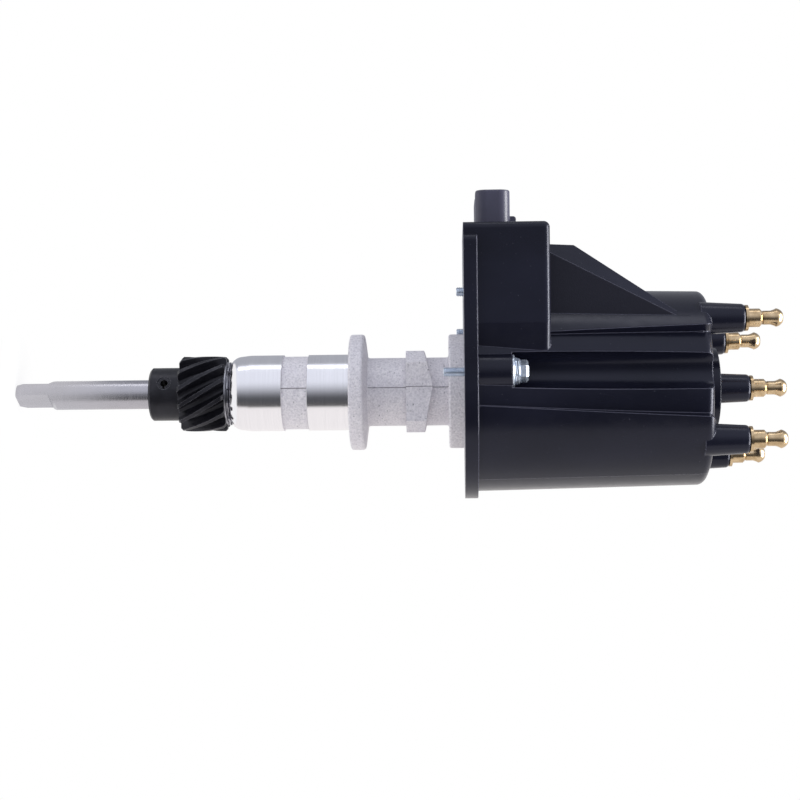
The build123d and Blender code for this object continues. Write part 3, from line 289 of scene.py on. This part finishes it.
def turned_steel(name, colour, roughness):
    """Ground or turned steel with fine rings and light handling marks."""
    made = Finish(name, roughness, metallic=1.0)
    rings = made.rings(0.25 * MM)
    marks = made.noise(4 * MM, detail=4.0, stretch=(1, 1, 0.3))
    dull = tuple(part * 0.93 for part in colour)
    made.colour(made.mix(made.ramp(marks, 0.35, 0.65), dull, colour))
    made.roughness(made.ramp(made.product(rings, marks), 0.1, 0.4, roughness - 0.06, roughness + 0.10))
    made.bump(rings, depth=0.006 * MM)
    return made.material


def black_oxide():
    """Blackened gear steel, worn lighter along its edges."""
    made = Finish("black_oxide", 0.36, metallic=0.55, specular=0.6)
    patches = made.noise(5 * MM, detail=4.0)
    fine = made.noise(0.5 * MM)
    body = made.mix(made.ramp(patches, 0.35, 0.7), (0.010, 0.010, 0.015), (0.020, 0.020, 0.027))
    sharp = made.edges(0.22 * MM, low=0.02, high=0.2)
    worn = made.product(sharp, made.ramp(fine, 0.35, 0.6, 0.3, 1.0))
    made.colour(made.mix(worn, body, (0.26, 0.26, 0.30)))
    made.roughness(made.spread(fine, 0.28, 0.44))
    made.soften(0.25 * MM)
    made.bump(fine, depth=0.02 * MM)
    return made.material


def moulded(name, dark, light, roughness, grain_size, grain_depth):
    """Moulded plastic with a faint flow pattern and surface grain."""
    made = Finish(name, roughness)
    flow = made.noise(14 * MM, stretch=(1, 1, 0.4))
    grain = made.noise(grain_size, shift=5.0)
    made.colour(made.mix(made.spread(flow), dark, light))
    made.roughness(made.spread(grain, roughness - 0.05, roughness + 0.06))
    made.soften(0.4 * MM)
    made.bump(grain, grain_depth)
    return made.material


def cap_plastic():
    """Glossy black cap; the gusset's near wall keeps the die's matt grain."""
    made = Finish("cap_black", 0.2, specular=0.32)
    made.shader.inputs["Specular Tint"].default_value = (0.84, 0.86, 1.0, 1)
    level = made.axis("Z")
    matt = made.product(
        made.window(made.axis("Y"), GUSSET_WALL, soft=0.05 * MM),
        made.window(level, GUSSET_LEVELS, soft=0.5 * MM),
        made.ramp(made.axis("X"), *GUSSET_ROOT, 1.0, 0.0),
    )
    flow = made.noise(24 * MM, stretch=(1, 1, 0.5))
    grain = made.noise(0.45 * MM, shift=5.0)
    peel = made.noise(3.5 * MM, detail=2.0, shift=9.0)
    dust = made.ramp(made.noise(0.7 * MM, detail=1.0, shift=21.0), 0.775, 0.82)

    gloss = made.mix(made.spread(flow), (0.0042, 0.0046, 0.0098), (0.0078, 0.0084, 0.0168))
    gloss = made.mix(made.product(dust, 0.5), gloss, (0.10, 0.10, 0.12))
    body = made.mix(matt, gloss, (0.0075, 0.0075, 0.0135))
    # Painted highlight: sharp edges below the towers are coloured a lighter bluish grey, standing in for
    # the light their rounding catches.
    sharp = made.edges(0.5 * MM, low=0.01, high=0.12)
    below_towers = made.ramp(level, *TOWER_FOOT, 0.8, 0.0)
    made.colour(made.mix(made.product(sharp, below_towers), body, (0.12, 0.12, 0.165)))

    made.roughness(made.math("ADD", made.spread(peel, 0.20, 0.26), made.product(matt, 0.24)))
    made.soften(0.75 * MM)
    made.bump(peel, depth=0.018 * MM)
    made.bump(made.product(grain, made.ramp(matt, 0, 1, 0.10, 1.0)), depth=0.07 * MM)
    return made.material


def turned_brass():
    made = Finish("brass", 0.2, metallic=1.0)
    rings = made.rings(0.3 * MM)
    tarnish = made.noise(3 * MM, detail=4.0)
    made.colour(made.mix(made.spread(tarnish), (0.44, 0.31, 0.17), (0.74, 0.57, 0.36)))
    made.roughness(made.spread(rings, 0.16, 0.28))
    made.bump(rings, depth=0.02 * MM)
    return made.material


def zinc_plate():
    made = Finish("zinc_plate", 0.25, metallic=0.75)
    spangle = made.noise(1.2 * MM)
    made.colour(made.mix(made.spread(spangle), (0.50, 0.57, 0.68), (0.70, 0.76, 0.85)))
    made.roughness(made.spread(spangle, 0.12, 0.24))
    made.bump(spangle, depth=0.02 * MM)
    return made.material


def mottled(name, dark, light, roughness, metallic, size):
    """Simple mottled finish for the pieces inside."""
    made = Finish(name, roughness, metallic=metallic)
    mottle = made.noise(size, detail=4.0)
    made.colour(made.mix(made.spread(mottle), dark, light))
    made.roughness(made.spread(mottle, roughness - 0.06, roughness + 0.08))
    made.bump(mottle, depth=0.02 * MM)
    return made.material


finishes = {
    "cast_aluminium": cast_and_machined(),
    "shaft_steel": turned_steel("shaft_steel", (0.50, 0.49, 0.53), 0.28),
    "washer_steel": turned_steel("washer_steel", (0.42, 0.42, 0.46), 0.30),
    "gear_black": black_oxide(),
    "cap_black": cap_plastic(),
    "brass": turned_brass(),
    "zinc": zinc_plate(),
    "connector_plastic": moulded(
        "connector_plastic", (0.040, 0.039, 0.066), (0.056, 0.054, 0.092), 0.34, 0.4 * MM, 0.03 * MM
    ),
    "rotor_plastic": moulded(
        "rotor_plastic", (0.010, 0.010, 0.011), (0.016, 0.016, 0.017), 0.28, 0.6 * MM, 0.02 * MM
    ),
    "module_plastic": moulded(
        "module_plastic", (0.018, 0.018, 0.02), (0.028, 0.028, 0.03), 0.5, 0.5 * MM, 0.03 * MM
    ),
    "coil_plastic": moulded(
        "coil_plastic", (0.045, 0.035, 0.028), (0.07, 0.055, 0.04), 0.45, 0.5 * MM, 0.03 * MM
    ),
    "base_metal": mottled("base_metal", (0.40, 0.40, 0.42), (0.52, 0.52, 0.54), 0.42, 0.85, 2 * MM),
    "bronze": mottled("bronze", (0.42, 0.27, 0.12), (0.58, 0.40, 0.20), 0.35, 1.0, 0.8 * MM),
    "spring_steel": mottled("spring_steel", (0.42, 0.42, 0.44), (0.58, 0.58, 0.6), 0.3, 1.0, 1 * MM),
    "core_steel": mottled("core_steel", (0.34, 0.34, 0.35), (0.48, 0.48, 0.5), 0.36, 1.0, 1.5 * MM),
    "magnet": mottled("magnet", (0.03, 0.03, 0.032), (0.05, 0.05, 0.054), 0.55, 0.2, 0.7 * MM),
    "carbon": mottled("carbon", (0.018, 0.018, 0.018), (0.035, 0.035, 0.035), 0.5, 0.1, 0.4 * MM),
    "seal_rubber": mottled("seal_rubber", (0.012, 0.012, 0.012), (0.02, 0.02, 0.02), 0.7, 0.0, 1 * MM),
    "pin_tin": mottled("pin_tin", (0.60, 0.60, 0.58), (0.74, 0.74, 0.72), 0.28, 1.0, 1 * MM),
}

slot_of = {part["node"]: part["material_slot"] for part in frame["record"]["subparts"]}
for node_name, node_object in frame["nodes"].items():
    node_object.data.materials.clear()
    node_object.data.materials.append(finishes[slot_of[node_name]])


# ------------------------------------------------------------------ shapes of the fasteners
SCREW_PITCH = 0.7 * MM


def up(height):
    return Vector((0, 0, height))


def around_axis(base, radius, angle, level):
    """Point beside an upright axis through base."""
    return base + Vector((radius * math.cos(angle), radius * math.sin(angle), level))


def skin(mesh, rings):
    """Closes rings of vertices, stacked upwards, into a solid."""
    for lower, upper in zip(rings, rings[1:]):
        for step in range(len(lower)):
            after = (step + 1) % len(lower)
            mesh.faces.new((lower[step], lower[after], upper[after], upper[step]))
    mesh.faces.new(list(reversed(rings[0])))
    mesh.faces.new(rings[-1])


def thread_radius(radius, pitch, depth, angle, level):
    """Radius of a rounded V thread at an angle and a level."""
    turn = (level / pitch - angle / (2 * math.pi)) % 1.0
    crest = abs(2 * turn - 1.0)
    return radius - depth * min(1.0, max(0.0, 1.25 * crest - 0.12))


def add_thread(mesh, base, radius, length, pitch, depth, around=32, per_turn=8):
    """Threaded rod from its chamfered tip at base upwards."""
    tip_chamfer = 0.5 * MM
    rows = max(2, round(length / pitch * per_turn))
    rings = []
    for row in range(rows + 1):
        level = length * row / rows
        widest = radius - max(0.0, tip_chamfer - level)
        ring = []
        for step in range(around):
            angle = 2 * math.pi * step / around
            size = min(thread_radius(radius, pitch, depth, angle, level), widest)
            ring.append(mesh.verts.new(around_axis(base, size, angle, level)))
        rings.append(ring)
    skin(mesh, rings)


def add_turned(mesh, base, outline, sides=48):
    """Turned body from (radius, level) points; six sides give a hexagon."""
    angles = [2 * math.pi * step / sides for step in range(sides)]
    skin(mesh, [
        [mesh.verts.new(around_axis(base, size, angle, level)) for angle in angles]
        for size, level in outline
    ])


def add_ring(mesh, base, outline, start=0.0, turn=360.0, rise=0.0, around=64):
    """Ring swept round Z from (radius, level) points; less than a full turn is closed at its ends."""
    whole = turn >= 360.0
    steps = around if whole else around + 1
    loops = []
    for step in range(steps):
        share = step / around
        angle = math.radians(start + turn * share)
        loops.append([
            mesh.verts.new(around_axis(base, size, angle, level + rise * share))
            for size, level in outline
        ])
    for step in range(around):
        one, two = loops[step], loops[(step + 1) % steps]
        for corner in range(len(outline)):
            after = (corner + 1) % len(outline)
            mesh.faces.new((one[corner], two[corner], two[after], one[after]))
    if not whole:
        mesh.faces.new(loops[0])
        mesh.faces.new(list(reversed(loops[-1])))


def add_shank(mesh, tip, length, thread_length, radius, core, depth):
    """Threaded end, then a plain core up to the head."""
    add_thread(mesh, tip, radius, thread_length, SCREW_PITCH, depth)
    add_turned(mesh, tip + up(thread_length), [(core, 0), (core, length - thread_length)])


def diagonal_sites(low, high, radius):
    """Axes of two equal screws that reach the opposite corners of their box."""
    return [
        Vector((low.x + radius, low.y + radius, 0)),
        Vector((high.x - radius, high.y - radius, 0)),
    ]


def make_piece(name, mesh, slot, body, replaced):
    """Turns a finished bmesh into a piece that rides on a body and stands for a CAD node."""
    data = bpy.data.meshes.new(name)
    bmesh.ops.recalc_face_normals(mesh, faces=mesh.faces)
    mesh.to_mesh(data)
    mesh.free()
    piece = bpy.data.objects.new(name, data)
    bpy.context.scene.collection.objects.link(piece)
    data.materials.append(finishes[slot])
    for face in data.polygons:
        face.use_smooth = True
    data.set_sharp_from_angle(angle=math.radians(35))
    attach(piece, body)
    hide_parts(replaced)


# ------------------------------------------------------------------ cap screws and their washers
CAP_SCREW_WIDEST = 4.25 * MM       # radius of the CAD screw's head
CAP_THREAD_LENGTH = 14 * MM
HEAD_FLANGE_HEIGHT = 1.1 * MM
FLAT_WASHER_HEIGHT = 1.0 * MM

screws_low, screws_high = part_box("cap_screws")
washers_low, washers_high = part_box("cap_screw_washers")
cap_shank_length = washers_high.z - screws_low.z
hexagon_height = screws_high.z - washers_high.z - HEAD_FLANGE_HEIGHT
head_flange = [
    (5.1 * MM, 0),
    (5.4 * MM, 0.2 * MM),
    (5.4 * MM, 0.5 * MM),
    (4.7 * MM, HEAD_FLANGE_HEIGHT),
]
hexagon = [
    (4.6 * MM, 0),
    (4.7 * MM, 0.2 * MM),
    (4.7 * MM, hexagon_height - 0.9 * MM),
    (3.9 * MM, hexagon_height),
]
flat_washer = [
    (2.1 * MM, 0),
    (6.6 * MM, 0),
    (6.9 * MM, 0.2 * MM),
    (6.9 * MM, 0.5 * MM),
    (6.4 * MM, FLAT_WASHER_HEIGHT),
    (2.1 * MM, FLAT_WASHER_HEIGHT),
]
spring_washer = [
    (2.2 * MM, 0.01 * MM),
    (5.3 * MM, 0.01 * MM),
    (5.6 * MM, 0.25 * MM),
    (5.6 * MM, 0.75 * MM),
    (5.3 * MM, 0.98 * MM),
    (2.2 * MM, 0.98 * MM),
]

cap_screws = bmesh.new()
washers = bmesh.new()
for site in diagonal_sites(screws_low, screws_high, CAP_SCREW_WIDEST):
    tip = site + up(screws_low.z)
    head = site + up(washers_high.z)
    foot = site + up(washers_low.z)
    add_shank(
        cap_screws, tip, cap_shank_length, CAP_THREAD_LENGTH,
        radius=2.05 * MM, core=1.85 * MM, depth=0.38 * MM,
    )
    add_turned(cap_screws, head, head_flange)
    add_turned(cap_screws, head + up(HEAD_FLANGE_HEIGHT), hexagon, sides=6)
    add_ring(washers, foot, flat_washer)
    # The split washer is a little sprung at its gap.
    add_ring(
        washers, foot + up(FLAT_WASHER_HEIGHT), spring_washer, start=200.0, turn=352.0, rise=0.2 * MM
    )
make_piece("cap_screws_threaded", cap_screws, "zinc", "housing_body", "cap_screws")
make_piece("cap_screw_washer_sets", washers, "zinc", "housing_body", "cap_screw_washers")

# ------------------------------------------------------------------ module screws
MODULE_SCREW_WIDEST = 3.6 * MM     # radius of the head
MODULE_THREAD_LENGTH = 15.4 * MM
PAN_HEIGHT = 2.2 * MM

module_low, module_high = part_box("module_screws")
module_shank_length = module_high.z - module_low.z - PAN_HEIGHT
pan_head = [
    (3.55 * MM, 0),
    (MODULE_SCREW_WIDEST, 0.1 * MM),
    (MODULE_SCREW_WIDEST, 1.3 * MM),
    (3.35 * MM, 1.8 * MM),
    (2.9 * MM, 2.1 * MM),
    (2.2 * MM, PAN_HEIGHT),
    (1.9 * MM, 2.18 * MM),
    (1.75 * MM, 1.0 * MM),     # floor of the drive recess
]

module_screws = bmesh.new()
for site in diagonal_sites(module_low, module_high, MODULE_SCREW_WIDEST):
    tip = site + up(module_low.z)
    head = site + up(module_high.z - PAN_HEIGHT)
    add_shank(
        module_screws, tip, module_shank_length, MODULE_THREAD_LENGTH,
        radius=1.99 * MM, core=1.8 * MM, depth=0.36 * MM,
    )
    add_turned(module_screws, head, pan_head)
make_piece("module_screws_threaded", module_screws, "zinc", "housing_body", "module_screws")

# ------------------------------------------------------------------ floor
floor_mesh = bmesh.new()
bmesh.ops.create_circle(floor_mesh, cap_ends=True, segments=96, radius=FLOOR_RADIUS)
floor_data = bpy.data.meshes.new("floor")
floor_mesh.to_mesh(floor_data)
floor_mesh.free()
floor = bpy.data.objects.new("floor", floor_data)
floor.location.z = cad_low.z - FLOOR_GAP
bpy.context.scene.collection.objects.link(floor)


def floor_finish():
    """Pale floor that fades to the white of the background away from the object."""
    made = Finish("floor", 0.9, specular=0.1)
    made.colour((0.9, 0.9, 0.9))
    white = made.node("ShaderNodeEmission")
    white.inputs["Color"].default_value = (1, 1, 1, 1)
    rays = made.node("ShaderNodeLightPath")
    seen = made.math("MAXIMUM", rays.outputs["Is Camera Ray"], rays.outputs["Is Glossy Ray"])
    away = made.ramp(made.radius(), low=0.006, high=0.03, start=0.8, end=1.0)
    mixer = made.node("ShaderNodeMixShader")
    made.feed(mixer.inputs[0], made.product(seen, away))
    made.feed(mixer.inputs[1], made.shader.outputs[0])
    made.feed(mixer.inputs[2], white.outputs[0])
    made.feed(made.tree.nodes["Material Output"].inputs["Surface"], mixer.outputs[0])
    return made.material


floor_data.materials.append(floor_finish())


# ------------------------------------------------------------------ studio and lamps
def studio():
    """White surroundings with a dimmer room behind the camera; the camera itself sees white."""
    world = bpy.data.worlds.new("studio")
    bpy.context.scene.world = world
    world.use_nodes = True
    made = Nodes(world.node_tree)
    direction = made.node("ShaderNodeSeparateXYZ")
    made.feed(direction.inputs[0], made.node("ShaderNodeTexCoord").outputs["Generated"])
    across, depth, height = direction.outputs
    # Angle round the shaft, zero towards the camera and positive away from the module box.
    angle = made.math("ARCTAN2", across, made.product(depth, -1.0))

    def fade(first, last, start, end):
        """Smooth change between two angles, in degrees."""
        return made.ramp(angle, math.radians(first), math.radians(last), start, end, "SMOOTHSTEP")

    box_side = fade(-40, 20, 1.0, ROOM_LEVEL)
    far_side = fade(40, 46, ROOM_LEVEL, 1.0)
    behind_box = fade(-99, -96, BEHIND_LEVEL, 1.0)
    round_shaft = made.product(made.math("MAXIMUM", box_side, far_side), behind_box)
    cap_end = made.ramp(height, 0.55, 0.85, 0.0, CAP_END_LEVEL, "SMOOTHSTEP")
    rays = made.node("ShaderNodeLightPath")
    fill = made.product(rays.outputs["Is Diffuse Ray"], FRONT_FILL)
    level = made.math("MAXIMUM", made.math("MAXIMUM", round_shaft, cap_end), fill)

    lit = made.node("ShaderNodeBackground")
    made.feed(lit.inputs["Color"], made.mix(fade(20, 46, 0.0, 1.0), COOL_LIGHT, WARM_LIGHT))
    made.feed(lit.inputs["Strength"], made.product(level, STUDIO_LEVEL))
    white = made.node("ShaderNodeBackground")
    white.inputs["Color"].default_value = (1, 1, 1, 1)
    white.inputs["Strength"].default_value = 1.0
    chooser = made.node("ShaderNodeMixShader")
    made.feed(chooser.inputs[0], rays.outputs["Is Camera Ray"])
    made.feed(chooser.inputs[1], lit.outputs[0])
    made.feed(chooser.inputs[2], white.outputs[0])
    made.feed(made.tree.nodes["World Output"].inputs["Surface"], chooser.outputs[0])


def softbox(name, place, aim, width, height, power):
    """Area lamp at a place, turned to face a point."""
    data = bpy.data.lights.new(name, "AREA")
    data.shape = "RECTANGLE"
    data.size = width
    data.size_y = height
    data.energy = power
    lamp = bpy.data.objects.new(name, data)
    lamp.location = place
    lamp.rotation_mode = "QUATERNION"
    lamp.rotation_quaternion = (Vector(aim) - Vector(place)).to_track_quat("-Z", "Y")
    bpy.context.scene.collection.objects.link(lamp)


studio()
softbox("box_side", place=(-0.95, -0.08, 0.05), aim=(0, 0, 0.02), width=0.12, height=1.0, power=0.8)
softbox("cap_end", place=(0.0, -0.14, 0.95), aim=(0, 0, 0.1), width=0.9, height=0.4, power=16.0)

# ------------------------------------------------------------------ camera, with the cap to its right
camera_data = bpy.data.cameras.new("camera")
camera_data.lens = LENS
camera_data.sensor_width = SENSOR
camera = bpy.data.objects.new("camera", camera_data)
bpy.context.scene.collection.objects.link(camera)
bpy.context.scene.camera = camera
aim_point = Vector((AIM_SIDE, 0, AIM_HEIGHT))
camera_place = Vector((AIM_SIDE, -CAMERA_DISTANCE, CAMERA_HEIGHT))
camera_back = (camera_place - aim_point).normalized()
camera_right = Vector((math.sin(CAMERA_ROLL), 0, math.cos(CAMERA_ROLL)))
camera_right = (camera_right - camera_right.dot(camera_back) * camera_back).normalized()
camera_up = camera_back.cross(camera_right)
camera_turn = Matrix((camera_right, camera_up, camera_back)).transposed().to_4x4()
camera.matrix_world = Matrix.Translation(camera_place) @ camera_turn

bpy.context.scene.view_settings.view_transform = "Standard"
